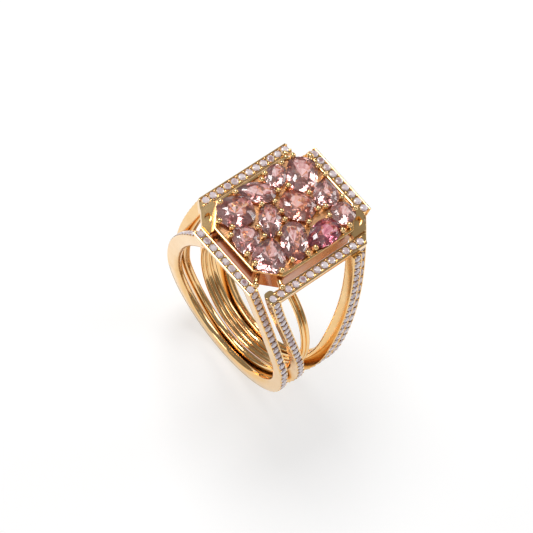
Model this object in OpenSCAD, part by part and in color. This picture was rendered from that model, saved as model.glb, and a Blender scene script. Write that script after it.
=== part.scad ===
// Cocktail ring with a fanned shank of four set bands and two plain wires.
// Origin at the centre of the finger hole. X runs across the finger, Y along it, Z up to the head.

/* [Finger] */
// Inside diameter of the finger hole
finger_d = 16.4; // [14:0.2:20]
// Radial thickness of the four bands
band_t = 1.65; // [1.4:0.05:2]
// Thickness of each plain finger wire
wire_d = 0.56; // [0.5:0.02:0.8]
// Width of one band at the bottom of the ring
foot_w = 0.95; // [0.85:0.05:1.1]
// Radius of the shoulder where a band's straight leg turns into the round
knee_r = 5.7; // [4.5:0.1:7]
// Height of the shoulder's centre above the centre of the finger hole
knee_z = 1.7; // [0.8:0.1:2.4]

/* [Head] */
// Height of the halo's top above the centre of the finger hole
head_h = 17.2; // [15:0.2:20]
// Distance between the centre lines of the two long bars
head_w = 13.45; // [12.5:0.1:16.5]
// Distance between the centre lines of the two short bars
head_l = 16.85; // [15.5:0.1:20.5]
// Length of a short bar from its middle to its end at an open corner
open_half = 4.95; // [4.3:0.05:5.5]
// Length of a short bar from its middle to its end at a webbed corner
web_half = 4.35; // [3.8:0.05:4.8]
// Distance of the near inner band's leg from the ring's middle at its open corner
inner_open = 7.2; // [6.6:0.05:7.3]
// Distance of the far inner band's leg from the ring's middle, under the end of its long bar
inner_under = 5.9; // [5:0.1:6]
// Distance of an inner band's leg from the ring's middle at a webbed corner
inner_web = 4.5; // [3.8:0.1:5]
// Width of a bar and of a band at the head
bar_w = 1.25; // [1.15:0.05:1.5]
// Height of a bar
bar_t = 1.1; // [0.9:0.05:1.5]

/* [Tray] */
// Open gap between the tray's wall and the bars
tray_gap = 0.5; // [0.3:0.05:0.8]
// How far the tray's rim stands above the bars
tray_rise = 1.1; // [0.8:0.05:1.4]
// How far the tray's wall reaches below the bars' top
tray_drop = 1.6; // [0.8:0.05:2]
// Length taken off each corner of the tray, along each side
tray_cut = 2.4; // [1.8:0.1:2.8]
// Thickness of the tray's wall
wall_t = 0.3; // [0.25:0.05:0.4]
// Thickness of the tray's floor
floor_t = 0.4; // [0.3:0.05:0.6]
// How far the tray's floor lies below the top of its rim
floor_sink = 0.25; // [0.2:0.05:0.5]

/* [Stones] */
// Diameter of a small round stone
pave_d = 0.88; // [0.8:0.02:0.94]
// Distance from one small round stone to the next
pave_pitch = 1.03; // [1:0.01:1.2]
// Angle below the horizontal where the rows of small stones end
pave_end = 35; // [20:1:45]
// Free play between a small stone and its seat
seat_play = 0.02; // [0.01:0.01:0.04]
// Height of the large stones' girdles above the bars' top
girdle_h = 1.3; // [1.2:0.02:1.5]
// Thickness of a prong
prong_d = 0.42; // [0.36:0.02:0.5]
// Diameter of the ball at a prong's tip
ball_d = 0.62; // [0.5:0.02:0.7]

/* [Hidden] */
$fn = 96;
bore_r = finger_d / 2;
shank_r = bore_r + band_t;
// Steps of a band's sideways sweep from the head to the bottom, and of its round
stations = 14;
arc_steps = 26;
knee_steps = 5;
web_steps = 14;
fan_span = head_h + shank_r;
solder_gap = 0.01;
rim_bow = 0.3;
open_reach = 0.74;
open_start = 1.2;
open_power = 1.35;
web_power = 1.6;
// How far in from a short bar's end the curve of its webbed leg would meet the bar's top
web_in = 0.95;
// Edges of the bands at the head and at the bottom
rim_top = (head_l + bar_w) / 2;
inner_foot = wire_d + 2 * solder_gap;
rim_foot = inner_foot + 2 * foot_w + solder_gap;
long_x = head_w / 2;
short_y = head_l / 2;
low_top = head_h - bar_t;
bar_outer = long_x + bar_w / 2;
knee_x = shank_r - knee_r;
knee_drop = head_h - knee_z;
// Ends of a long bar, and how far its first stone stands from the open end
long_open = inner_open - bar_w / 2 - solder_gap;
long_web = 5.75;
mitre = 0.85;
row_in = 0.52;
end_in = 0.5;
last_in = 0.8;
leg_in = 0.62;
// Tray
tray_x = long_x - bar_w / 2 - tray_gap;
tray_y = short_y - bar_w / 2 - tray_gap;
tray_top = head_h + tray_rise;
tray_low = head_h - tray_drop;
floor_z = tray_top - floor_sink - floor_t;
rim_t = 0.34;
rim_h = 0.2;
// Share of a stone's outline that its window in the floor follows
window_share = 0.76;
girdle_z = head_h + girdle_h;
// The field of large stones is laid out for a tray of this half size
field_x = 5.6;
field_y = 7.3;
kx = tray_x / field_x;
ky = tray_y / field_y;
kg = min(kx, ky);
// Wires
wire_flat = 0.08;

// Large stones: [x, y, width, length, turn, squareness, point]
GEMS = [
    [-2.79, 4.83, 3.29, 4.21, 50, 2.8, 0],
    [-4.26, 2.33, 2.31, 2.84, 29, 2.2, 0.1],
    [-3.91, -0.85, 2.55, 4.22, 139, 2.0, 0.6],
    [-3.31, -4.22, 3.59, 4.02, 158, 2.6, 0],
    [-0.31, -1.91, 2.41, 3.98, 232, 2.0, 0.3],
    [-0.08, 1.82, 3.52, 3.88, 120, 2.3, 0],
    [0.4, 5.49, 2.75, 3.38, 54, 2.0, 0.7],
    [3.45, 5.31, 2.61, 2.69, 4, 2.2, 0],
    [4.2, 1.89, 2.76, 4.21, 188, 2.3, 0.3],
    [3.08, -1.35, 2.9, 4.57, 53, 2.4, 0],
    [2.9, -4.78, 3.54, 4.22, 41, 2.2, 0.55],
    [-0.01, -5.63, 2.95, 3.44, 224, 2.0, 0.5]
];

// Prongs: [x, y], each standing at the edge of one stone or between two
PRONGS = [
    [-4.72, 5.05], [-5.05, 3.75], [-5.08, 1.35], [-4.65, 0.57], [-5.08, -2.81], [-4.94, -4.83],
    [-3.27, -6.5], [-1.98, -5.93], [-2.33, -1.43], [-2.63, 1.17], [-2.49, 2.49], [-1.8, 0.0],
    [-2.5, 6.78], [-1.27, 6.75], [-0.53, 3.77], [1.92, 6.47], [1.78, 4.17], [1.54, 3.29],
    [-0.47, -0.24], [0.52, -0.58], [2.24, 1.39], [2.87, 3.74], [3.39, 6.38], [-0.41, -3.62],
    [-1.33, -6.66], [0.82, -3.76], [1.56, -2.24], [1.47, -6.7], [2.81, -6.78], [4.94, -4.83],
    [4.71, -3.2], [5.08, -1.24], [5.05, -0.12], [5.08, 3.75], [5.01, 4.76]
];

// Share of the way from the head down to the bottom
function share(z) = (head_h - z) / fan_span;

// Width of a band at a height
function band_w(z) = bar_w + (foot_w - bar_w) * share(z);

// Distance of a rim band's centre from the ring's middle at a height
function rim_mid(z) =
    let (s = share(z))
    rim_top + (rim_foot - rim_top) * s - rim_bow * 4 * s * (1 - s) - band_w(z) / 2;

// Distance of an inner band's centre from the ring's middle at a height, on its leg at an open corner
function open_mid(z, top) =
    let (low = inner_foot + foot_w / 2, s = min(1, max(0, share(z)) / open_reach))
    low + (top - low) * pow(1 - pow(s, open_start), open_power);

// The same on its leg at a webbed corner
function web_mid(z) =
    let (low = inner_foot + foot_w / 2, s = min(1, max(0, share(z))))
    low + (inner_web - low) * (1 + cos(180 * pow(s, web_power))) / 2;

// Direction square to a leg that leaves [x, head_h] and meets the shoulder's round
function leg_turn(x) =
    let (dx = x - knee_x)
    atan2(knee_drop, dx) - acos(knee_r / norm([dx, knee_drop]));

// Length of the straight part of a leg, and of its shoulder
function leg_run(x) = let (dx = x - knee_x) sqrt(dx * dx + knee_drop * knee_drop - knee_r * knee_r);
function knee_run(x) = knee_r * leg_turn(x) * PI / 180;

// Place [x, z, direction] at a distance along a leg's outside, starting at the head
function leg_at(x, d) =
    let (
        t = leg_turn(x),
        past = d - leg_run(x),
        below = past - knee_run(x),
        k = t - past / knee_r * 180 / PI,
        a = (knee_z - below) / shank_r * 180 / PI
    )
    past < 0 ? [x + d * sin(t), head_h - d * cos(t), t]
    : below < 0 ? [knee_x + knee_r * cos(k), knee_z + knee_r * sin(k), k]
    : below < knee_z ? [shank_r, knee_z - below, 0]
    : [shank_r * cos(a), shank_r * sin(a), a];

// Number of small stones down one leg, the first of them a distance in from the head
function leg_count(x, first) =
    floor((leg_run(x) + knee_run(x) + knee_z + shank_r * pave_end * PI / 180 - first) / pave_pitch);

// A webbed leg is an even curve from x at the head out to the shank's side: its place at a height,
// where a height below zero is a length along the round
function web_at(x, h) =
    let (k = (shank_r - x) / (head_h * head_h), a = h / shank_r * 180 / PI)
    h > 0 ? [shank_r - k * h * h, h, atan(2 * k * h)] : [shank_r * cos(a), shank_r * sin(a), a];

// Heights of the small stones down a webbed leg, a pitch apart along it
function web_heights(x, h) =
    h < -shank_r * pave_end * PI / 180
        ? []
        : concat([h], web_heights(x, h - pave_pitch * cos(max(0, web_at(x, h - pave_pitch / 2)[2]))));

// Half outline of a loop at its webbed side, cut deep inwards; the top is carried straight up to z_top
function web_points(x, deep, z_top) =
    let (first = web_at(x, z_top), t = first[2], rise = deep * sin(t))
    concat(
        [[first[0] - deep * cos(t) - rise * tan(t), z_top]],
        [
            for (i = [1 : web_steps]) let (p = web_at(x, z_top * (1 - i / web_steps)))
            [p[0] - deep * cos(p[2]), p[1] - deep * sin(p[2])]
        ],
        [
            for (i = [1 : arc_steps]) let (a = -90 * i / arc_steps)
            [(shank_r - deep) * cos(a), (shank_r - deep) * sin(a)]
        ]
    );

// Half outline of a loop: a straight leg, its shoulder and a quarter of the round, cut deep inwards
function side_points(x, deep, z_top) =
    let (t = leg_turn(x), r = knee_r - deep, top_x = knee_x + (r - (z_top - knee_z) * sin(t)) / cos(t))
    concat(
        [[top_x, z_top]],
        [
            for (i = [0 : knee_steps]) let (a = t * (1 - i / knee_steps))
            [knee_x + r * cos(a), knee_z + r * sin(a)]
        ],
        [
            for (i = [0 : arc_steps]) let (a = -90 * i / arc_steps)
            [(shank_r - deep) * cos(a), (shank_r - deep) * sin(a)]
        ]
    );

// Whole outline from its two halves, the second one turned over to the -x side
function both_sides(right, left) =
    concat(right, [for (i = [len(left) - 2 : -1 : 0]) [-left[i][0], left[i][1]]]);

// Sideways sweep of one leg, seen along X: its distance from the ring's middle at each height
module leg_strip(mids, from, to) {
    zs = sweep_heights();
    translate([from, 0, 0])
        rotate([90, 0, 90])
            linear_extrude(to - from)
                polygon(concat(
                    [for (i = [0 : stations]) [-mids[i] - band_w(zs[i]) / 2, zs[i]]],
                    [for (i = [stations : -1 : 0]) [-mids[i] + band_w(zs[i]) / 2, zs[i]]]
                ));
}

// Small round stone, its girdle just under the metal's surface and its axis along Z
module pave_stone() {
    r = pave_d / 2;
    crown = 0.13;
    girdle = 0.04;
    depth = 0.36;
    cylinder(crown, r, 0.6 * r, $fn = 24);
    translate([0, 0, -girdle])
        cylinder(girdle, r, r, $fn = 24);
    translate([0, 0, -girdle - depth])
        cylinder(depth, 0.04, r, $fn = 24);
}

// Hole that a small round stone sits in
module pave_seat() {
    r = pave_d / 2 + seat_play;
    depth = 0.44;
    translate([0, 0, -depth])
        cylinder(depth + 0.3, r, r, $fn = 24);
}

// Heights at which a band's sweep is worked out
function sweep_heights() = [for (i = [0 : stations]) head_h - i * (fan_span + solder_gap) / stations];

// Puts its children at every small stone of an open leg; under is 0 for a rim band's leg, or else
// the distance of an inner band's leg from the middle at its top
module along_open_leg(x, first, under) {
    for (i = [0 : leg_count(x, first) - 1]) {
        p = leg_at(x, first + i * pave_pitch);
        y = under == 0 ? rim_mid(p[1]) : open_mid(p[1], under);
        translate([p[0], -y, p[1]])
            rotate([0, 90 - p[2], 0])
                children();
    }
}

// Puts its children at every small stone of a webbed leg, from a height down
module along_web_leg(x, height, rim) {
    for (h = web_heights(x, height)) {
        p = web_at(x, h);
        translate([-p[0], rim ? -rim_mid(p[1]) : -web_mid(p[1]), p[1]])
            rotate([0, p[2] - 90, 0])
                children();
    }
}

// Places of the small stones in the near rim band
module rim_places() {
    along_open_leg(open_half, leg_in, 0)
        children();
    along_web_leg(web_half - web_in, low_top - end_in, true)
        children();
    for (i = [0 : floor((open_half + web_half - 2 * end_in) / pave_pitch)])
        translate([open_half - end_in - i * pave_pitch, -short_y, head_h])
            children();
}

// Places of the small stones in an inner band; a leg that starts under a long bar has none there
module inner_places(top, under) {
    along_open_leg(bar_outer, under ? bar_t + leg_in : leg_in, top)
        children();
    along_web_leg(bar_outer, low_top - end_in, false)
        children();
    if (!under)
        translate([long_x, -top, head_h])
            children();
}

// Places of the small stones in the right long bar
module bar_places() {
    for (i = [0 : floor((long_open - row_in + long_web + mitre / 2 - last_in) / pave_pitch)])
        translate([long_x, -long_open + row_in + i * pave_pitch, head_h])
            children();
}

// Turns its children half round the ring, from the near side to the far side
module half_turn() {
    rotate([0, 0, 180])
        children();
}

// Near rim band with the short bar on top; the bar's webbed end stands on the leg
module near_rim_band() {
    mids = [for (z = sweep_heights()) rim_mid(z)];
    leg_x = web_half - web_in;
    web_side = web_points(leg_x, 0, low_top);
    color("goldenrod")
        difference() {
            intersection() {
                rotate([90, 0, 0])
                    linear_extrude(2 * head_l, center = true)
                        difference() {
                            polygon(both_sides(
                                side_points(open_half, 0, head_h),
                                concat([[web_half, head_h], [web_half, low_top]], web_side)
                            ));
                            polygon(both_sides(
                                side_points(open_half, band_t, low_top),
                                web_points(leg_x, band_t, low_top)
                            ));
                        }
                leg_strip(mids, -2 * shank_r, 2 * shank_r);
            }
            rim_places()
                pave_seat();
        }
}

module far_rim_band() {
    half_turn()
        near_rim_band();
}

// Inner band; its webbed leg stops under a long bar, and its open leg comes up beside the bar's end
// or stops under it as well
module inner_band(top, under) {
    zs = sweep_heights();
    above = head_h + bar_t;
    below = low_top - solder_gap;
    color("gold")
        difference() {
            intersection() {
                rotate([90, 0, 0])
                    linear_extrude(2 * head_l, center = true)
                        difference() {
                            polygon(both_sides(
                                side_points(bar_outer, 0, under ? below : head_h),
                                web_points(bar_outer, 0, below)
                            ));
                            polygon(both_sides(
                                side_points(bar_outer, band_t, above),
                                web_points(bar_outer, band_t, above)
                            ));
                        }
                union() {
                    leg_strip([for (z = zs) open_mid(z, top)], -solder_gap, 2 * shank_r);
                    leg_strip([for (z = zs) web_mid(z)], -2 * shank_r, solder_gap);
                }
            }
            inner_places(top, under)
                pave_seat();
        }
}

module near_inner_band() {
    inner_band(inner_open, false);
}

module far_inner_band() {
    half_turn()
        inner_band(inner_under, true);
}

// Long bar on the right of the head, square at its open end and mitred at its webbed end
module right_halo_bar() {
    half = bar_w / 2;
    color("goldenrod")
        difference() {
            translate([long_x, 0, head_h - bar_t])
                linear_extrude(bar_t)
                    polygon([
                        [-half, -long_open],
                        [half, -long_open],
                        [half, long_web],
                        [-half, long_web + mitre]
                    ]);
            bar_places()
                pave_seat();
        }
}

module left_halo_bar() {
    half_turn()
        right_halo_bar();
}

// Plain round wire with a narrow flat inside, closed round the finger
module finger_wire(y) {
    translate([0, y, 0])
        rotate([90, 0, 0])
            rotate_extrude($fn = 180)
                intersection() {
                    translate([bore_r + wire_d / 2 - wire_flat, 0])
                        circle(d = wire_d, $fn = 32);
                    translate([bore_r, -wire_d])
                        square([2 * wire_d, 2 * wire_d]);
                }
}

module near_finger_wire() {
    color("khaki")
        finger_wire(-wire_d / 2 - solder_gap);
}

module far_finger_wire() {
    color("khaki")
        finger_wire(wire_d / 2 + solder_gap);
}

// Rectangle with its corners cut off, grown or shrunk by a margin
module tray_outline(grow) {
    x = tray_x + grow;
    y = tray_y + grow;
    c = tray_cut + grow * (2 - sqrt(2));
    polygon([
        [x - c, -y], [x, -y + c], [x, y - c], [x - c, y],
        [-x + c, y], [-x, y - c], [-x, -y + c], [-x + c, -y]
    ]);
}

module tray_wall() {
    color("peru")
        translate([0, 0, tray_low])
            linear_extrude(tray_top - rim_h - tray_low)
                difference() {
                    tray_outline(0);
                    tray_outline(-wall_t);
                }
}

module tray_rim() {
    color("gold")
        translate([0, 0, tray_top - rim_h])
            linear_extrude(rim_h)
                difference() {
                    tray_outline(0.05);
                    tray_outline(0.05 - rim_t);
                }
}

// Plate under the large stones, with a window of each stone's own outline below it
module tray_floor() {
    n = 24;
    color("goldenrod")
        translate([0, 0, floor_z])
            linear_extrude(floor_t)
                difference() {
                    tray_outline(-wall_t - solder_gap);
                    for (g = GEMS)
                        translate([g[0] * kx, g[1] * ky])
                            rotate(g[4])
                                scale(kg * window_share)
                                    polygon([for (k = [0 : n - 1]) outline_at(g, (k + 0.5) * 360 / n)]);
                }
}

// Flat web that closes a corner of the halo, with a pointed oval pocket
module corner_web() {
    gap = solder_gap;
    web_t = 0.6;
    window = 0.75;
    out_x = long_x - bar_w / 2 - gap;
    out_y = short_y - bar_w / 2 - gap;
    in_x = tray_x - tray_cut;
    in_y = tray_y - tray_cut;
    difference() {
        translate([0, 0, head_h - 0.35])
            linear_extrude(web_t)
                polygon([
                    [tray_x + gap, in_y],
                    [out_x, in_y],
                    [out_x, long_web + mitre],
                    [web_half + 0.1, out_y],
                    [in_x, out_y],
                    [in_x, tray_y + gap]
                ]);
        translate([
            (out_x + web_half + in_x + tray_x) / 4,
            (out_y + long_web + mitre + in_y + tray_y) / 4,
            head_h - 0.2
        ])
            rotate([0, 0, -45])
                linear_extrude(web_t)
                    intersection() {
                        translate([0, window / 2])
                            circle(window, $fn = 48);
                        translate([0, -window / 2])
                            circle(window, $fn = 48);
                    }
    }
}

module corner_webs() {
    color("gold") {
        corner_web();
        half_turn()
            corner_web();
    }
}

// Lump of gold between a vertex of the tray and the end of a bar
module bracket(from, to) {
    lump_r = 0.3;
    span = to - from;
    translate([from[0], from[1], head_h + 0.1])
        rotate([0, 0, atan2(span[1], span[0])])
            rotate([0, 90, 0])
                cylinder(norm(span), r = lump_r, $fn = 32);
    translate([to[0], to[1], head_h + 0.2])
        sphere(r = lump_r + 0.08, $fn = 32);
}

module corner_brackets() {
    reach = tray_gap + 0.12;
    color("gold")
        for (turn = [0, 180])
            rotate([0, 0, turn]) {
                bracket(
                    [tray_x - tray_cut + 0.5, -tray_y + 0.4],
                    [tray_x - tray_cut + 1.2, -tray_y - 0.42]
                );
                bracket(
                    [tray_x - 0.15, -tray_y + tray_cut - 0.35],
                    [tray_x + reach, -tray_y + tray_cut - 0.65]
                );
            }
}

// One prong for every place in the list, from the floor up to a round tip
module stone_prongs() {
    color("gold")
        for (p = PRONGS)
            translate([p[0] * kx, p[1] * ky, floor_z + floor_t]) {
                cylinder(girdle_z + 0.25 - floor_z - floor_t, d = prong_d, $fn = 24);
                translate([0, 0, girdle_z + 0.25 - floor_z - floor_t])
                    sphere(d = ball_d, $fn = 24);
            }
}

// Point of a stone's outline: an oval that can be squared up or drawn out to a point
function outline_at(g, a) =
    let (
        q = 2 / g[5],
        m = g[6],
        full = 2 * pow((m + 1) / (m + 2), (m + 1) / 2) * pow(m + 2, -0.5),
        sx = sign(sin(a)) * pow(abs(sin(a)), q) * pow(abs(sin(a / 2)), m),
        sy = sign(cos(a)) * pow(abs(cos(a)), q)
    )
    [g[2] / 2 * sx / full, g[3] / 2 * sy];

// Faceted stone: table, crown, girdle and pavilion, as rings of the same outline
module gem(i) {
    g = GEMS[i];
    n = 24;
    w = g[2];
    rings = [[0.56, 0.17 * w], [0.82, 0.11 * w], [1, 0.02 * w], [1, 0], [0.55, -0.2 * w], [0.12, -0.37 * w]];
    edge = [for (k = [0 : n - 1]) outline_at(g, (k + 0.5) * 360 / n)];
    last = len(rings) - 1;
    points = [for (r = rings) for (e = edge) [e[0] * r[0], e[1] * r[0], r[1]]];
    sides = [
        for (j = [0 : last - 1]) for (k = [0 : n - 1])
            [j * n + k, (j + 1) * n + k, (j + 1) * n + (k + 1) % n, j * n + (k + 1) % n]
    ];
    top = [[for (k = [0 : n - 1]) k]];
    bottom = [[for (k = [n - 1 : -1 : 0]) last * n + k]];
    translate([g[0] * kx, g[1] * ky, girdle_z])
        rotate([0, 0, g[4]])
            scale(kg)
                polyhedron(points, concat(top, sides, bottom));
}

module cushion_stone_far() { color("pink") gem(0); }
module round_stone_left() { color("lightpink") gem(1); }
module pear_stone_left() { color("pink") gem(2); }
module cushion_stone_left() { color("lightpink") gem(3); }
module oval_stone_middle() { color("plum") gem(4); }
module oval_stone_centre() { color("salmon") gem(5); }
module pear_stone_far() { color("pink") gem(6); }
module oval_stone_far_right() { color("lightpink") gem(7); }
module pear_stone_right() { color("palevioletred") gem(8); }
module oval_stone_near_right() { color("pink") gem(9); }
module pear_stone_near() { color("lightpink") gem(10); }
module pear_stone_near_left() { color("pink") gem(11); }

module near_rim_pave() {
    color("thistle")
        rim_places()
            pave_stone();
}

module far_rim_pave() {
    half_turn()
        near_rim_pave();
}

module near_inner_pave() {
    color("thistle")
        inner_places(inner_open, false)
            pave_stone();
}

module far_inner_pave() {
    color("thistle")
        half_turn()
            inner_places(inner_under, true)
                pave_stone();
}

module right_bar_pave() {
    color("thistle")
        bar_places()
            pave_stone();
}

module left_bar_pave() {
    half_turn()
        right_bar_pave();
}

near_rim_band();
far_rim_band();
near_inner_band();
far_inner_band();
left_halo_bar();
right_halo_bar();
near_finger_wire();
far_finger_wire();
tray_wall();
tray_rim();
tray_floor();
corner_webs();
corner_brackets();
stone_prongs();
cushion_stone_far();
round_stone_left();
pear_stone_left();
cushion_stone_left();
oval_stone_middle();
oval_stone_centre();
pear_stone_far();
oval_stone_far_right();
pear_stone_right();
oval_stone_near_right();
pear_stone_near();
pear_stone_near_left();
near_rim_pave();
far_rim_pave();
near_inner_pave();
far_inner_pave();
left_bar_pave();
right_bar_pave();
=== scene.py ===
"""Cocktail ring: four set bands and two plain wires carry a halo and a tray of pink stones."""

import bmesh
import bpy
import numpy as np
from mathutils import Matrix, Vector


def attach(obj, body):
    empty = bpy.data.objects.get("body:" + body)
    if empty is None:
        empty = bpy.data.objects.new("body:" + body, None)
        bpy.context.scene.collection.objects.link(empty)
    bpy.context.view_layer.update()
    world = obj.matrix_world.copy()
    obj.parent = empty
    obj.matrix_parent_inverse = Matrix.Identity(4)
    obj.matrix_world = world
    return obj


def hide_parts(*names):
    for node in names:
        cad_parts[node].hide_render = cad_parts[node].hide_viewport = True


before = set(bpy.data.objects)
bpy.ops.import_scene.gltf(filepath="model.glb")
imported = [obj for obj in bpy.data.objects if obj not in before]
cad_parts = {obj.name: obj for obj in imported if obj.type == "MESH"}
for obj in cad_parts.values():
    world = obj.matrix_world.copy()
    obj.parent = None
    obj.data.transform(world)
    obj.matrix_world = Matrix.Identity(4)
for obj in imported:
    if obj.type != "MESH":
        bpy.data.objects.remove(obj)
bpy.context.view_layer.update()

# ---------------------------------------------------------------------------------------------
# Gold. Every metal piece is one polished 18 carat alloy, a little duller on the tray; the tray's wall
# and plate are painted darker and redder as painted shade.
# The polisher's wheel leaves clouds of slightly different colour and very fine drawn scratches.
# ---------------------------------------------------------------------------------------------
# One millimetre in metres
MM = 0.001
rich_gold = (0.86, 0.50, 0.17, 1)
pale_gold = (0.98, 0.73, 0.41, 1)


def new_group(name, inputs, outputs):
    """An empty shader node group with named inputs (name, kind, value) and outputs (name, kind)."""
    group = bpy.data.node_groups.new(name, "ShaderNodeTree")
    for label, kind, value in inputs:
        socket = group.interface.new_socket(label, in_out="INPUT", socket_type="NodeSocket" + kind)
        socket.default_value = value
    for label, kind in outputs:
        group.interface.new_socket(label, in_out="OUTPUT", socket_type="NodeSocket" + kind)
    start = group.nodes.new("NodeGroupInput")
    end = group.nodes.new("NodeGroupOutput")
    return group, start, end


def add_noise(group, scale, detail, stretch=(1, 1, 1)):
    """Noise on the piece's own coordinates, scale in features per metre, stretched along an axis."""
    where = group.nodes.new("ShaderNodeTexCoord")
    turn = group.nodes.new("ShaderNodeMapping")
    turn.inputs["Scale"].default_value = stretch
    noise = group.nodes.new("ShaderNodeTexNoise")
    noise.inputs["Scale"].default_value = scale
    noise.inputs["Detail"].default_value = detail
    group.links.new(where.outputs["Object"], turn.inputs["Vector"])
    group.links.new(turn.outputs["Vector"], noise.inputs["Vector"])
    return noise


polish, polish_in, polish_out = new_group(
    "wheel_polish",
    [
        ("Rich", "Color", rich_gold),
        ("Pale", "Color", pale_gold),
        ("Gloss", "Float", 0.1),
        ("Scratches", "Float", 0.2),
    ],
    [("Color", "Color"), ("Roughness", "Float"), ("Normal", "Vector")],
)
clouds = add_noise(polish, 420, 3)
drawn = add_noise(polish, 9000, 4, (1, 0.08, 0.3))
tint = polish.nodes.new("ShaderNodeMix")
tint.data_type = "RGBA"
polish.links.new(clouds.outputs["Fac"], tint.inputs["Factor"])
polish.links.new(polish_in.outputs["Rich"], tint.inputs["A"])
polish.links.new(polish_in.outputs["Pale"], tint.inputs["B"])
polish.links.new(tint.outputs["Result"], polish_out.inputs["Color"])
scratch_dullness = 0.12
scratch_depth = 0.004 * MM
dull = polish.nodes.new("ShaderNodeMath")
dull.operation = "MULTIPLY_ADD"
dull.inputs[1].default_value = scratch_dullness
polish.links.new(drawn.outputs["Fac"], dull.inputs[0])
polish.links.new(polish_in.outputs["Gloss"], dull.inputs[2])
polish.links.new(dull.outputs["Value"], polish_out.inputs["Roughness"])
grooves = polish.nodes.new("ShaderNodeBump")
grooves.inputs["Distance"].default_value = scratch_depth
polish.links.new(polish_in.outputs["Scratches"], grooves.inputs["Strength"])
polish.links.new(drawn.outputs["Fac"], grooves.inputs["Height"])
polish.links.new(grooves.outputs["Normal"], polish_out.inputs["Normal"])


def polished_gold(name, rich=rich_gold, pale=pale_gold, gloss=0.08, scratches=0.2):
    """A gold material: the wheel polish's colour, dullness and scratches on a metal surface."""
    gold = bpy.data.materials.new(name)
    gold.use_nodes = True
    nodes, links = gold.node_tree.nodes, gold.node_tree.links
    surface = nodes["Principled BSDF"]
    surface.inputs["Metallic"].default_value = 1
    finish = nodes.new("ShaderNodeGroup")
    finish.node_tree = polish
    finish.inputs["Rich"].default_value = rich
    finish.inputs["Pale"].default_value = pale
    finish.inputs["Gloss"].default_value = gloss
    finish.inputs["Scratches"].default_value = scratches
    links.new(finish.outputs["Color"], surface.inputs["Base Color"])
    links.new(finish.outputs["Roughness"], surface.inputs["Roughness"])
    links.new(finish.outputs["Normal"], surface.inputs["Normal"])
    return gold


band_gold = polished_gold("band_gold")
halo_gold = polished_gold("halo_gold", gloss=0.12)
wire_gold = polished_gold("wire_gold", gloss=0.06, scratches=0.1)
# Painted shade: the tray wall and the plate are coloured dark red-brown for the shaded recess inside
# the halo and the shade between the stones.
tray_gold = polished_gold("tray_gold", (0.42, 0.18, 0.10, 1), (0.60, 0.31, 0.20, 1), 0.16)
plate_gold_painted_shade = polished_gold("plate_gold_painted_shade", (0.60, 0.26, 0.12, 1), (0.85, 0.50, 0.26, 1), 0.22)

# ---------------------------------------------------------------------------------------------
# Bands. Four cast bands are soldered side by side at the bottom and fan out to the head. Each is
# flat on its sides, rounded inside, and has two thin rails with a sunk channel for small stones.
# ---------------------------------------------------------------------------------------------
# Radius of the finger hole, thickness of the bands, and the shoulder's radius and centre
bore_r = 8.2
band_t = 1.65
shank_r = bore_r + band_t
knee_r = 5.7
knee_z = 1.7
knee_x = shank_r - knee_r
# Height of the halo, and the centre lines of its long and short bars
head_h = 17.2
head_w = 13.45
head_l = 16.85
knee_drop = head_h - knee_z
fan_span = head_h + shank_r
long_x = head_w / 2
short_y = head_l / 2
# Widths at the head and at the bottom, and the height of a bar
bar_w = 1.25
bar_t = 1.1
foot_w = 0.95
wire_d = 0.56
solder_gap = 0.01
low_top = head_h - bar_t
bar_outer = long_x + bar_w / 2
inner_foot = wire_d + 2 * solder_gap
inner_low = inner_foot + foot_w / 2
rim_foot = inner_foot + 2 * foot_w + solder_gap
rim_top = short_y + bar_w / 2
# Half lengths of a short bar, and where its webbed leg's curve meets the top inside its end
open_half = 4.95
web_half = 4.35
web_in = 0.95
# An inner band's distance from the middle: beside an open bar end, under one, and at a web
inner_open = 7.2
inner_under = 5.9
inner_web = 4.5
# Shape of the bands' sideways sweeps, and half the width in which one turns into the other
rim_bow = 0.3
open_reach = 0.74
open_start = 1.2
open_power = 1.35
web_power = 1.6
cross_x = 3
# The channel's depth, the angle and height where it and the stones end, and its run-out
channel = 0.13
pave_end = np.radians(35)
set_low = -shank_r * np.sin(pave_end)
run_out = 0.5


def share(z):
    """Share of the way from the head down to the bottom, 0 to 1."""
    return np.clip((head_h - z) / fan_span, 0, 1)


def half_width(z):
    """Half of a band's width: a straight line from the head's width to the bottom's."""
    return (bar_w + (foot_w - bar_w) * share(z)) / 2


def rim_mid(x, z):
    """A rim band's distance from the middle: a straight line with a small bow, less half a width."""
    s = share(z)
    return rim_top + (rim_foot - rim_top) * s - 4 * rim_bow * s * (1 - s) - half_width(z)


def inner_mid(x, z, open_top=inner_open):
    """An inner band's distance from the middle: a power curve on its open leg, a half cosine wave
    on its webbed leg, and a smooth change between the two under the finger."""
    s = share(z)
    fall = (1 - np.minimum(1, s / open_reach) ** open_start) ** open_power
    opened = inner_low + (open_top - inner_low) * fall
    webbed = inner_low + (inner_web - inner_low) * (1 + np.cos(np.pi * s**web_power)) / 2
    side = np.clip((x + cross_x) / (2 * cross_x), 0, 1)
    return webbed + (opened - webbed) * side * side * (3 - 2 * side)


def leg_turn(x):
    """Direction square to the straight leg that leaves x at the head and touches the shoulder."""
    dx = x - knee_x
    return np.arctan2(knee_drop, dx) - np.arccos(knee_r / np.hypot(dx, knee_drop))


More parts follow.
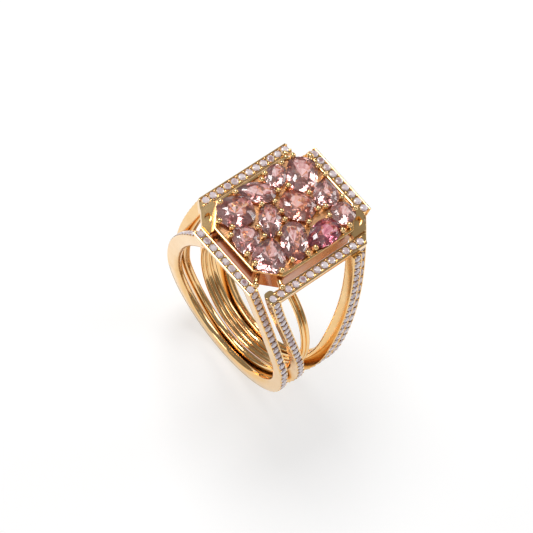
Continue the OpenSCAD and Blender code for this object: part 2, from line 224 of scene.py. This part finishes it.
def side_points(x, deep, z_top):
    """Half a loop's outline in x and z: straight leg, shoulder, short upright, quarter circle."""
    t = leg_turn(x)
    r = knee_r - deep
    top_x = knee_x + (r - (z_top - knee_z) * np.sin(t)) / np.cos(t)
    # A first step close to the top keeps the leg's end crisp
    down = np.r_[0, 0.004, np.linspace(0.02, 1, 24)][:, None]
    knee = t * np.linspace(1, 0, 9)[1:]
    turn = np.radians(np.linspace(0, -90, 40))
    touch = np.array([knee_x + r * np.cos(t), knee_z + r * np.sin(t)])
    return np.concatenate([
        np.array([top_x, z_top]) * (1 - down) + touch * down,
        np.c_[knee_x + r * np.cos(knee), knee_z + r * np.sin(knee)],
        (shank_r - deep) * np.c_[np.cos(turn), np.sin(turn)],
    ])


def web_curve(x, z):
    """A webbed leg: x grows with the square of the height left, out to the shank's side. Gives x
    and the direction square to the leg."""
    k = (shank_r - x) / head_h**2
    return shank_r - k * z * z, np.arctan(2 * k * z)


def web_points(x, deep, z_top):
    """Half a loop's outline on its webbed side: the leg's curve moved inwards, quarter circle."""
    z = z_top * np.linspace(1, 0, 34)
    leg_x, t = web_curve(x, z)
    leg = np.c_[leg_x - deep * np.cos(t), z - deep * np.sin(t)]
    leg[0] = leg_x[0] - deep * np.cos(t[0]) - deep * np.sin(t[0]) * np.tan(t[0]), z_top
    turn = np.radians(np.linspace(0, -90, 41))[1:]
    return np.concatenate([leg, (shank_r - deep) * np.c_[np.cos(turn), np.sin(turn)]])


def both_sides(right, left):
    """Whole loop: the open side down to the bottom, then the webbed side up, mirrored in x."""
    return np.concatenate([right, left[-2::-1] * [-1, 1]])


def cast_mesh(name, verts, faces, material, smooth=30, nodes=(), tones=None):
    """Puts arrays in millimetres into a mesh piece, faces outward, creases sharper than an angle."""
    mesh = bpy.data.meshes.new(name)
    mesh.from_pydata(np.asarray(verts) * MM, [], faces)
    if tones is not None:
        tone = mesh.attributes.new("tone", "FLOAT", "FACE")
        tone.data.foreach_set("value", np.asarray(tones, np.float32))
    if smooth:
        tidy = bmesh.new()
        tidy.from_mesh(mesh)
        bmesh.ops.recalc_face_normals(tidy, faces=tidy.faces)
        tidy.to_mesh(mesh)
        tidy.free()
        mesh.shade_smooth()
        mesh.set_sharp_from_angle(angle=np.radians(smooth))
    mesh.materials.append(material)
    piece = bpy.data.objects.new(name, mesh)
    bpy.context.scene.collection.objects.link(piece)
    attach(piece, "root")
    if nodes:
        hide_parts(*nodes)


def grid_faces(rows, cols, ring=False, capped=False):
    """Quads of a grid whose columns close on themselves; the rows close too, or have end caps."""
    index = np.arange(rows * cols).reshape(rows, cols)
    if ring:
        index = np.r_[index, index[:1]]
    right = np.roll(index, -1, axis=1)
    quads = np.stack([index[:-1], right[:-1], right[1:], index[1:]], -1).reshape(-1, 4).tolist()
    if capped:
        quads += [index[0][::-1].tolist(), index[-1].tolist()]
    return quads


# Across the band: side to side share, millimetres added to it, depth share, 1 for the channel
band_section = np.array([
    (-1, 0, 0.04, 0), (-1, 0.03, 0.01, 0), (-1, 0.07, 0, 0), (-1, 0.13, 0, 0), (-1, 0.17, 0.01, 0),
    (-1, 0.2, 0, 1), (1, -0.2, 0, 1),
    (1, -0.17, 0.01, 0), (1, -0.13, 0, 0), (1, -0.07, 0, 0), (1, -0.03, 0.01, 0), (1, 0, 0.04, 0),
    (1, 0, 0.66, 0), (1, -0.03, 0.78, 0), (1, -0.1, 0.88, 0), (1, -0.22, 0.95, 0), (0.3, 0, 0.99, 0),
    (-0.3, 0, 0.99, 0), (-1, 0.22, 0.95, 0), (-1, 0.1, 0.88, 0), (-1, 0.03, 0.78, 0), (-1, 0, 0.66, 0),
])


def band_surface(outer, inner, mid):
    """Point at each station and section place: between the outer and inner outline by depth, at
    the band's distance from the middle plus the section's sideways place."""
    across, shift, depth, sunk = band_section.T
    fade = np.clip((outer[:, 1] - set_low) / run_out + 1, 0, 1)
    deep = depth + sunk * fade[:, None] * channel / band_t
    xz = outer[:, None] * (1 - deep[..., None]) + inner[:, None] * deep[..., None]
    y = -mid(xz[..., 0], xz[..., 1]) + across * half_width(xz[..., 1]) + shift
    return np.stack([xz[..., 0], y, xz[..., 1]], -1)


half_turn = np.array([-1, -1, 1])
# The short bar is one with its rim band: the loop closes across the top, with mitred corners
across_top = np.r_[0.008, np.linspace(0.04, 0.96, 20), 0.992][:, None]


def closed_loop(deep, top):
    """A rim band's outline with the short bar across its top; the bar's webbed end is a square
    block that stands on the leg."""
    leg = web_points(web_half - web_in, deep, low_top)
    block = np.array([[web_half - deep, top], [web_half - deep, top - 0.03 * bar_t],
                      [web_half - deep, low_top + 0.03]])
    loop = both_sides(side_points(open_half, deep, top), np.concatenate([block, leg]))
    return np.concatenate([loop, loop[-1] * (1 - across_top) + loop[0] * across_top])


rim = band_surface(closed_loop(0, head_h), closed_loop(band_t, low_top), rim_mid)


def inner_loop(open_top, z_open):
    """An inner band's surface: its open leg ends at a height, at a distance from the middle."""
    z_web = low_top - solder_gap
    outlines = [
        both_sides(side_points(bar_outer, deep, z_open), web_points(bar_outer, deep, z_web))
        for deep in (0, band_t)
    ]
    return band_surface(*outlines, lambda x, z: inner_mid(x, z, open_top))


inner = {
    "near": inner_loop(inner_open, head_h),
    "far": inner_loop(inner_under, low_top - solder_gap),
}
for side, turn in (("near", 1), ("far", half_turn)):
    cast_mesh(
        side + "_rim_loop", (rim * turn).reshape(-1, 3),
        grid_faces(*rim.shape[:2], ring=True), band_gold, nodes=(side + "_rim_band",),
    )
    cast_mesh(
        side + "_inner_loop", (inner[side] * turn).reshape(-1, 3),
        grid_faces(*inner[side].shape[:2], capped=True), band_gold, nodes=(side + "_inner_band",),
    )

# ---------------------------------------------------------------------------------------------
# Long bars. The halo's two long sides are square gold bars with the same rails and channel, cut
# square where a band stands beside the end and mitred where a web closes the corner.
# ---------------------------------------------------------------------------------------------
long_open = inner_open - bar_w / 2 - solder_gap
long_web = 5.75
mitre = 0.85
along = np.r_[0, 0.003, np.linspace(0.02, 0.98, 24), 0.997, 1][:, None]
across, shift, depth, sunk = band_section.T
side_way = across * bar_w / 2 + shift
bar_y = -long_open + along * (long_open + long_web + mitre * (1 - side_way / bar_w * 2) / 2)
bar_x = long_x + side_way + 0 * along
bar_z = head_h - depth * bar_t - sunk * channel + 0 * along
right_bar = np.stack([bar_x, bar_y, bar_z], -1)
for side, turn in (("right", 1), ("left", half_turn)):
    cast_mesh(
        side + "_long_bar", (right_bar * turn).reshape(-1, 3),
        grid_faces(*right_bar.shape[:2], capped=True), halo_gold, nodes=(side + "_halo_bar",),
    )

# ---------------------------------------------------------------------------------------------
# Small stones. Round brilliants about 0.9 mm across sit in the channels a little over a
# millimetre apart, each held by four grains of gold raised from the rails.
# ---------------------------------------------------------------------------------------------
pitch = 1.03
stone_r = 0.44
stone_sink = 0.02
# A grain's radius, its distance from the row's middle, and how deep it sits
grain_r = 0.12
grain_out = 0.36
grain_sink = 0.03
# Distance of a row's first stone from a band's top, from a bar's end, and from a long bar's end
leg_in = 0.62
end_in = 0.5
row_in = 0.52
bar_stones = 12
sow = np.random.default_rng(7)


def painted_facet_light_ramp(nodes, dark, body, flash, middle):
    """Colours a facet by its tone: a painted dark reflection, the stone's own body colour, or a painted
    bright flash.
    """
    ramp = nodes.new("ShaderNodeValToRGB")
    ramp.color_ramp.elements[0].color = dark
    ramp.color_ramp.elements[1].color = flash
    ramp.color_ramp.elements.new(middle).color = body
    return ramp


ice = bpy.data.materials.new("pave_ice")
ice.use_nodes = True
ice_nodes, ice_links = ice.node_tree.nodes, ice.node_tree.links
ice_surface = ice_nodes["Principled BSDF"]
ice_surface.inputs["Roughness"].default_value = 0.04
ice_surface.inputs["IOR"].default_value = 2.2
ice_surface.inputs["Transmission Weight"].default_value = 0.2
ice_tone = ice_nodes.new("ShaderNodeAttribute")
ice_tone.attribute_name = "tone"
# Painted facet light: the dark end is a painted dark reflection and the near-white end a painted glint;
# the middle is the stones' own white-lilac.
ice_painted_facet_light = painted_facet_light_ramp(ice_nodes, (0.42, 0.24, 0.26, 1), (0.90, 0.77, 0.82, 1), (1.0, 0.94, 0.96, 1), 0.4)
ice_links.new(ice_tone.outputs["Fac"], ice_painted_facet_light.inputs["Fac"])
ice_links.new(ice_painted_facet_light.outputs["Color"], ice_surface.inputs["Base Color"])


def brilliant(outline, sides, rings):
    """A cut stone: rings of one outline, each (size share, height, turn in steps), joined by
    facets. Rings turned against each other are joined by triangles, the others by squares; the
    last ring is a point."""
    verts, faces = [], []
    steps = np.arange(sides)
    for size, height, turn in rings[:-1]:
        x, y = outline((steps + turn) * 2 * np.pi / sides)
        verts.append(np.c_[x * size, y * size, np.full(sides, height)])
    verts.append(np.array([[0, 0, rings[-1][1]]]))
    faces.append(steps.tolist())
    for k in range(len(rings) - 2):
        a, b = k * sides + steps, (k + 1) * sides + steps
        shift = rings[k + 1][2] - rings[k][2]
        next_a, next_b = np.roll(a, -1), np.roll(b, -1)
        if shift > 0:
            faces += np.c_[a, b, next_a].tolist() + np.c_[b, next_b, next_a].tolist()
        elif shift < 0:
            faces += np.c_[a, b, next_b].tolist() + np.c_[a, next_b, next_a].tolist()
        else:
            faces += np.c_[a, b, next_b, next_a].tolist()
    last = (len(rings) - 2) * sides + steps
    faces += np.c_[last, np.full(sides, last[-1] + 1), np.roll(last, -1)].tolist()
    return np.concatenate(verts), faces


def circle_outline(a):
    """Round outline of a small stone."""
    return stone_r * np.cos(a), stone_r * np.sin(a)


def turned(radius, height, sides, tip):
    """A small turned shape: a ring of points at each radius and height, a flat foot and a tip."""
    way = np.arange(sides) * 2 * np.pi / sides
    rings = np.stack([np.outer(radius, np.cos(way)), np.outer(radius, np.sin(way)),
                      height[:, None] + 0 * way], -1)
    last = (len(radius) - 1) * sides
    faces = grid_faces(len(radius), sides)
    faces += [[last + i, last + (i + 1) % sides, last + sides] for i in range(sides)]
    faces += [list(range(sides - 1, -1, -1))]
    return np.r_[rings.reshape(-1, 3), [[0, 0, tip]]], faces


small_verts, small_faces = brilliant(circle_outline, 8, [
    (0.56, 0.11, 0), (0.82, 0.06, 0.5), (1, 0, 0), (1, -0.04, 0), (0.5, -0.2, 0.5), (0, -0.38, 0),
])
dome = np.radians([-20, 20, 55])
grain_verts, grain_faces = turned(grain_r * np.cos(dome), grain_r * np.sin(dome), 6, grain_r)


def set_out(verts, faces, places, frames):
    """Repeats a small shape at many places; frames hold its three axes as rows at each place."""
    many = np.einsum("vi,nij->nvj", verts, frames) + places[:, None]
    count = len(verts)
    repeated = [[v + count * n for v in f] for n in range(len(places)) for f in faces]
    return many.reshape(-1, 3), repeated


def leg_places(outline, first, way, mid):
    """Places and outward directions of the small stones down one leg: an outline's points are
    measured along their length, and a stone stands every pitch until the set part ends."""
    step = np.linalg.norm(np.diff(outline, axis=0), axis=1)
    run = np.r_[0, np.cumsum(step)]
    end = np.interp(pave_end, -np.arctan2(outline[:, 1], outline[:, 0]), run)
    d = np.arange(first, end, pitch)
    x, z = np.interp(d, run, outline[:, 0]), np.interp(d, run, outline[:, 1])
    ahead = np.interp(d + 0.05, run, outline[:, 0]) - np.interp(d - 0.05, run, outline[:, 0])
    drop = np.interp(d - 0.05, run, outline[:, 1]) - np.interp(d + 0.05, run, outline[:, 1])
    size = np.hypot(ahead, drop)
    places = np.c_[way * x, -mid(way * x, z), z]
    return places, np.c_[way * drop / size, 0 * d, ahead / size]


def set_row(name, rows, turn, node):
    """Sets rows of stones and their grains of gold: a stone at each place, and a grain on both
    rails halfway to the next place and before the first."""
    spots, stands, grain_spots, grain_stands = [], [], [], []
    for places, out in rows:
        way = np.gradient(places, axis=0) if len(places) > 1 else np.array([[0, 1.0, 0]])
        way -= (way * out).sum(1)[:, None] * out
        way /= np.linalg.norm(way, axis=1)[:, None]
        axes = np.stack([way, np.cross(out, way), out], 1)
        spots.append(places - stone_sink * out)
        stands.append(axes)
        ends = np.r_[places - way * pitch / 2, places[-1:] + way[-1:] * pitch / 2]
        axes = np.r_[axes, axes[-1:]]
        for rail in (-1, 1):
            grain_spots.append(ends + rail * axes[:, 1] * grain_out - grain_sink * axes[:, 2])
            grain_stands.append(axes)
    spots, stands = np.concatenate(spots), np.concatenate(stands)
    verts, faces = set_out(small_verts, small_faces, spots, stands)
    tones = sow.random((len(spots), len(small_faces)))
    # The table facet is a little darker than the rest, a painted dark reflection in the stone's centre
    tones[:, 0] *= 0.9
    cast_mesh(name, verts * turn, faces, ice, 0, (node,), tones.ravel())
    spots, stands = np.concatenate(grain_spots), np.concatenate(grain_stands)
    verts, faces = set_out(grain_verts, grain_faces, spots, stands)
    cast_mesh(name + "_grains", verts * turn, faces, halo_gold)


up = np.array([0, 0, 1.0])
short_run = open_half + web_half - 2 * end_in
short_x = open_half - end_in - pitch * np.arange(int(short_run // pitch) + 1)
short_row = np.c_[short_x, 0 * short_x - short_y, 0 * short_x + head_h]
long_y = -long_open + row_in + pitch * np.arange(bar_stones)
long_row = np.c_[0 * long_y + long_x, long_y, 0 * long_y + head_h]
rim_rows = [
    leg_places(side_points(open_half, 0, head_h), leg_in, 1, rim_mid),
    leg_places(web_points(web_half - web_in, 0, low_top), end_in, -1, rim_mid),
    (short_row, np.tile(up, (len(short_row), 1))),
]
inner_web_row = leg_places(web_points(bar_outer, 0, low_top), end_in, -1, inner_mid)
inner_rows = {
    "near": [
        leg_places(side_points(bar_outer, 0, head_h), leg_in, 1, inner_mid),
        inner_web_row,
        (np.array([[long_x, -inner_open, head_h]]), up[None]),
    ],
    "far": [
        leg_places(
            side_points(bar_outer, 0, low_top), leg_in, 1,
            lambda x, z: inner_mid(x, z, inner_under),
        ),
        inner_web_row,
    ],
}
bar_rows = [(long_row, np.tile(up, (len(long_row), 1)))]
for side, turn in (("near", 1), ("far", half_turn)):
    set_row(side + "_rim_stones", rim_rows, turn, side + "_rim_pave")
    set_row(side + "_inner_stones", inner_rows[side], turn, side + "_inner_pave")
for side, turn in (("right", 1), ("left", half_turn)):
    set_row(side + "_bar_stones", bar_rows, turn, side + "_bar_pave")

# ---------------------------------------------------------------------------------------------
# Finger wires. Two plain drawn wires close round the finger between the bands' feet. Each is
# round with a narrow flat inside, and is soldered to its neighbours at the bottom.
# ---------------------------------------------------------------------------------------------
wire_r = wire_d / 2
wire_flat = 0.08
wire_steps, wire_sides = 160, 20
lap = np.linspace(0, 2 * np.pi, wire_steps, endpoint=False)[:, None]
ring_way = np.linspace(0, 2 * np.pi, wire_sides, endpoint=False)
wire_out = np.maximum(bore_r, bore_r + wire_r - wire_flat + wire_r * np.cos(ring_way))
wire_y = wire_r * np.sin(ring_way)
wire = np.stack([wire_out * np.cos(lap), wire_y + 0 * lap, wire_out * np.sin(lap)], -1)
for side, way in (("near", -1), ("far", 1)):
    cast_mesh(
        side + "_round_wire", (wire + [0, way * (wire_r + solder_gap), 0]).reshape(-1, 3),
        grid_faces(wire_steps, wire_sides, ring=True), wire_gold, 60,
        nodes=(side + "_finger_wire",),
    )

# ---------------------------------------------------------------------------------------------
# Tray. An eight-sided wall of sheet gold stands inside the halo with a fine raised rim on top.
# A pierced plate closes it just below the rim and carries the stones.
# ---------------------------------------------------------------------------------------------
tray_gap = 0.5
tray_rise = 1.1
tray_drop = 1.6
tray_cut = 2.4
wall_t = 0.3
rim_h = 0.2
tray_x = long_x - bar_w / 2 - tray_gap
tray_y = short_y - bar_w / 2 - tray_gap
tray_top = head_h + tray_rise
tray_low = head_h - tray_drop


def ahead_of(corners, step):
    """Unit directions from each corner of a loop to the next one, or to the last with step 1."""
    way = np.roll(corners, step, 0) - corners
    return way / np.linalg.norm(way, axis=-1, keepdims=True)


def tray_loop(section, soft):
    """Eight-sided loop carried round the tray: for each (growth, height) of the section, corners
    at the half sizes plus growth, each one softened by a point on either side of it."""
    grow, z = np.array(section).T
    x, y = tray_x + grow, tray_y + grow
    c = tray_cut + grow * (2 - np.sqrt(2))
    half = [(x - c, -y), (x, -y + c), (x, y - c), (x - c, y)]
    corners = np.array([np.stack(corner, -1) for corner in half])
    corners = np.concatenate([corners, -corners])
    before = corners + soft * ahead_of(corners, 1)
    after = corners + soft * ahead_of(corners, -1)
    middle = (before + after + 2 * corners) / 4
    loop = np.stack([before, middle, after], 1).reshape(24, len(section), 2)
    return np.concatenate([loop, np.broadcast_to(z, (24, len(section)))[..., None]], -1)


wall_top = tray_top - rim_h
wall = tray_loop([
    (0, tray_low + 0.05), (0, wall_top), (-wall_t, wall_top), (-wall_t, tray_low + 0.05),
    (-wall_t + 0.05, tray_low), (-0.05, tray_low),
], 0.12)
# The wall wears the tray's painted shade colour.
cast_mesh(
    "tray_side", wall.reshape(-1, 3), grid_faces(*wall.shape[:2], ring=True),
    tray_gold, 25, ("tray_wall",),
)
rim_bead = tray_loop([
    (0.05, wall_top), (0.05, tray_top - 0.06), (0.02, tray_top - 0.01), (-0.05, tray_top),
    (-0.2, tray_top), (-0.27, tray_top - 0.02), (-0.29, tray_top - 0.08), (-0.29, wall_top),
], 0.14)
cast_mesh(
    "tray_edge", rim_bead.reshape(-1, 3), grid_faces(*rim_bead.shape[:2], ring=True),
    halo_gold, 40, nodes=("tray_rim",),
)
# The plate under the stones wears its painted shade colour.
CAD_SHAPES = [("tray_floor", plate_gold_painted_shade), ("corner_webs", halo_gold), ("corner_brackets", halo_gold)]
for node, material in CAD_SHAPES:
    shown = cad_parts[node]
    shown.data.materials.clear()
    shown.data.materials.append(material)

# ---------------------------------------------------------------------------------------------
# Prongs. Thirty-five round wires stand on the plate between the stones, each melted to a ball
# that presses on the stones' edges.
# ---------------------------------------------------------------------------------------------
# Each prong's place across and along the head
PRONGS = [
    (-5.08, 5.37), (-5.05, 3.75), (-5.08, 1.35), (-4.65, 0.57), (-5.08, -2.81), (-5.08, -4.97),
    (-3.35, -6.58), (-1.98, -5.93), (-2.33, -1.43), (-2.63, 1.17), (-2.49, 2.49), (-1.8, 0),
    (-2.5, 6.78), (-1.27, 6.75), (-0.53, 3.77), (1.92, 6.47), (1.78, 4.17), (1.54, 3.29),
    (-0.47, -0.24), (0.52, -0.58), (2.24, 1.39), (2.87, 3.74), (3.77, 6.68), (-0.41, -3.62),
    (-1.33, -6.66), (0.82, -3.76), (1.56, -2.24), (1.47, -6.7), (2.81, -6.78), (5.08, -4.97),
    (4.71, -3.2), (5.08, -1.24), (5.05, -0.12), (5.08, 3.75), (5.03, 4.78),
]
# Height of the stones' girdles above the bars, and of the balls' middles above the girdles
girdle_h = 1.3
ball_up = 0.29
girdle_z = head_h + girdle_h
ball_z = girdle_z + ball_up
# Half height and half width of a ball, and the post's radius at its foot and its neck
ball_r = 0.31
ball_wide = 0.36
post_foot, post_neck = 0.24, 0.19
bow = np.radians([-48, -20, 10, 40, 68])
post_r = np.r_[post_foot, post_neck, ball_wide * np.cos(bow)]
post_z = np.r_[tray_top - 0.25, tray_top - 0.1, ball_z + ball_r * np.sin(bow)]
post_verts, post_faces = turned(post_r, post_z, 10, ball_z + ball_r)
spots = np.array([(x, y, 0) for x, y in PRONGS])
verts, faces = set_out(post_verts, post_faces, spots, np.tile(np.eye(3), (len(spots), 1, 1)))
cast_mesh("ball_prongs", verts, faces, halo_gold, 60, nodes=("stone_prongs",))

# ---------------------------------------------------------------------------------------------
# Large stones. Twelve fancy-cut pink stones: cushions, ovals, pears and a round, each with a
# table, a stepped crown and a deep back. The body colour is the stone's own; facets are painted paler
# as painted flashes or darker as painted dark reflections.
# ---------------------------------------------------------------------------------------------
def stone_outline(width, length, squareness, point):
    """A stone's outline: an oval squared up by a power, or drawn out to a point at one end."""
    # The widest reach of the drawn-out oval, which the width is measured against
    full = 2 * ((point + 1) / (point + 2)) ** ((point + 1) / 2) * (point + 2) ** -0.5

    def outline(a):
        sx = np.sign(np.sin(a)) * np.abs(np.sin(a)) ** (2 / squareness) * np.abs(np.sin(a / 2)) ** point
        sy = np.sign(np.cos(a)) * np.abs(np.cos(a)) ** (2 / squareness)
        return -width / 2 * sx / full, length / 2 * sy

    return outline


cloud_share, cloud_level = 0.35, 0.17


def stone_colour_and_painted_facet_light(name, dark, body, flash):
    """A clear coloured stone: each facet's random tone runs from a painted dark reflection through the
    stone's body colour to a painted flash, broken by soft inclusions."""
    glass = bpy.data.materials.new(name)
    glass.use_nodes = True
    nodes, links = glass.node_tree.nodes, glass.node_tree.links
    surface = nodes["Principled BSDF"]
    surface.inputs["Roughness"].default_value = 0.03
    surface.inputs["IOR"].default_value = 1.8
    surface.inputs["Transmission Weight"].default_value = 0.88
    tone = nodes.new("ShaderNodeAttribute")
    tone.attribute_name = "tone"
    cloud = add_noise(glass.node_tree, 900, 2)
    mix = nodes.new("ShaderNodeMath")
    mix.operation = "MULTIPLY_ADD"
    mix.inputs[1].default_value = cloud_share
    links.new(cloud.outputs["Fac"], mix.inputs[0])
    lower = nodes.new("ShaderNodeMath")
    lower.operation = "SUBTRACT"
    lower.inputs[1].default_value = cloud_level
    links.new(tone.outputs["Fac"], lower.inputs[0])
    links.new(lower.outputs["Value"], mix.inputs[2])
    ramp = painted_facet_light_ramp(nodes, dark, body, flash, 0.55)
    links.new(mix.outputs["Value"], ramp.inputs["Fac"])
    links.new(ramp.outputs["Color"], surface.inputs["Base Color"])
    return glass


# Each colour is given as painted dark reflection, body colour, painted flash.
pink = stone_colour_and_painted_facet_light(
    "stone_pink", (0.50, 0.14, 0.13, 1), (0.93, 0.50, 0.48, 1), (1.0, 0.88, 0.88, 1),
)
salmon = stone_colour_and_painted_facet_light(
    "stone_salmon", (0.60, 0.13, 0.08, 1), (0.97, 0.42, 0.34, 1), (1.0, 0.80, 0.76, 1),
)
raspberry = stone_colour_and_painted_facet_light(
    "stone_raspberry", (0.42, 0.04, 0.09, 1), (0.80, 0.20, 0.28, 1), (1.0, 0.80, 0.84, 1),
)
# Node, place, width, length, turn in degrees, squareness, how far drawn to a point, colour
LARGE = [
    ("cushion_stone_far", -2.79, 4.83, 3.29, 4.21, 50, 2.8, 0, pink),
    ("round_stone_left", -4.26, 2.33, 2.31, 2.84, 29, 2.2, 0.1, pink),
    ("pear_stone_left", -3.91, -0.85, 2.55, 4.22, 139, 2.0, 0.6, pink),
    ("cushion_stone_left", -3.31, -4.22, 3.59, 4.02, 158, 2.6, 0, pink),
    ("oval_stone_middle", -0.31, -1.91, 2.41, 3.98, 232, 2.0, 0.3, pink),
    ("oval_stone_centre", -0.08, 1.82, 3.52, 3.88, 120, 2.3, 0, salmon),
    ("pear_stone_far", 0.4, 5.49, 2.75, 3.38, 54, 2.0, 0.7, pink),
    ("oval_stone_far_right", 3.45, 5.31, 2.61, 2.69, 4, 2.2, 0, pink),
    ("pear_stone_right", 4.2, 1.89, 2.76, 4.21, 188, 2.3, 0.3, raspberry),
    ("oval_stone_near_right", 3.08, -1.35, 2.9, 4.57, 53, 2.4, 0, pink),
    ("pear_stone_near", 2.9, -4.78, 3.54, 4.22, 41, 2.2, 0.55, pink),
    ("pear_stone_near_left", -0.01, -5.63, 2.95, 3.44, 224, 2.0, 0.5, pink),
]
# Table, crown, girdle and back: share of the outline, share of the width up, turn in steps
CUT = [
    (0.5, 0.16, 0), (0.76, 0.11, 0.5), (1.05, 0.02, 0), (1.05, 0, 0), (0.74, -0.12, 0.5),
    (0.4, -0.25, 0), (0, -0.36, 0),
]
stone_sides = 14
# The table facet gets one fixed tone, partway from the body colour towards the painted flash.
table_tone = 0.75
for node, x, y, width, length, turn, squareness, point, colour in LARGE:
    rings = [(size, height * width, step) for size, height, step in CUT]
    verts, faces = brilliant(stone_outline(width, length, squareness, point), stone_sides, rings)
    a = np.radians(turn)
    spin = np.array([[np.cos(a), np.sin(a), 0], [-np.sin(a), np.cos(a), 0], [0, 0, 1]])
    tones = sow.random(len(faces))
    tones[0] = table_tone
    cast_mesh(
        node.replace("stone", "cut"), verts @ spin + [x, y, girdle_z], faces,
        colour, 0, (node,), tones,
    )

# ---------------------------------------------------------------------------------------------
# Studio. A white table under the ring, a pale room, a large key light up and to the left and
# softer fills round it. The camera looks down on the near open corner.
# ---------------------------------------------------------------------------------------------
bpy.ops.mesh.primitive_plane_add(size=3, location=(0, 0, (-shank_r - 0.02) * MM))
table = bpy.context.object
table.name = "table"
paper = bpy.data.materials.new("white_paper")
paper.use_nodes = True
paper_surface = paper.node_tree.nodes["Principled BSDF"]
paper_surface.inputs["Base Color"].default_value = (0.45, 0.45, 0.45, 1)
paper_surface.inputs["Emission Color"].default_value = (1, 1, 1, 1)
paper_surface.inputs["Emission Strength"].default_value = 0.6
paper_surface.inputs["Roughness"].default_value = 0.9
paper_surface.inputs["Specular IOR Level"].default_value = 0
table.data.materials.append(paper)

world = bpy.data.worlds.new("room")
world.use_nodes = True
world.node_tree.nodes["Background"].inputs["Color"].default_value = (1, 0.99, 0.98, 1)
world.node_tree.nodes["Background"].inputs["Strength"].default_value = 0.22
bpy.context.scene.world = world
halfway_up = Vector((0, 0, head_h / 2 * MM))
# Name, place and size in metres, power in watts
LIGHTS = [
    ("key", (-0.12, 0.02, 0.26), 0.12, 0.5),
    ("fill_right", (0.20, -0.10, 0.20), 0.20, 0.10),
    ("fill_front", (-0.04, -0.26, 0.10), 0.12, 0.14),
    ("back", (0.06, 0.24, 0.14), 0.12, 0.16),
]
for name, place, size, power in LIGHTS:
    light = bpy.data.lights.new(name, "AREA")
    light.size = size
    light.energy = power
    lamp = bpy.data.objects.new(name, light)
    lamp.location = place
    lamp.rotation_euler = (halfway_up - Vector(place)).to_track_quat("-Z", "Y").to_euler()
    lamp.visible_camera = False
    bpy.context.scene.collection.objects.link(lamp)

# The camera's direction from the head, its roll, and its distance in millimetres
azimuth, elevation, roll = np.radians([32.343, 58.0, 19.9])
distance = 370.6
# How far the head stands right of the view's middle and above it, as tangents
aside, above = 0.00478, 0.01325
level = np.array([np.cos(azimuth), np.sin(azimuth), 0])
ahead = np.array([-np.sin(azimuth), np.cos(azimuth), 0])
rise = ahead * np.sin(elevation) + up * np.cos(elevation)
back = up * np.sin(elevation) - ahead * np.cos(elevation)
right = np.cos(roll) * level + np.sin(roll) * rise
top = np.cos(roll) * rise - np.sin(roll) * level
eye = head_h * up + (back - right * aside - top * above) * distance
lens = bpy.data.cameras.new("camera")
lens.sensor_width = 36
lens.lens = 234.14
lens.clip_start = 0.02
lens.clip_end = 20
camera = bpy.data.objects.new("camera", lens)
bpy.context.scene.collection.objects.link(camera)
camera.matrix_world = Matrix((
    (right[0], top[0], back[0], eye[0] * MM),
    (right[1], top[1], back[1], eye[1] * MM),
    (right[2], top[2], back[2], eye[2] * MM),
    (0, 0, 0, 1),
))
bpy.context.scene.camera = camera
bpy.context.scene.view_settings.view_transform = "Standard"
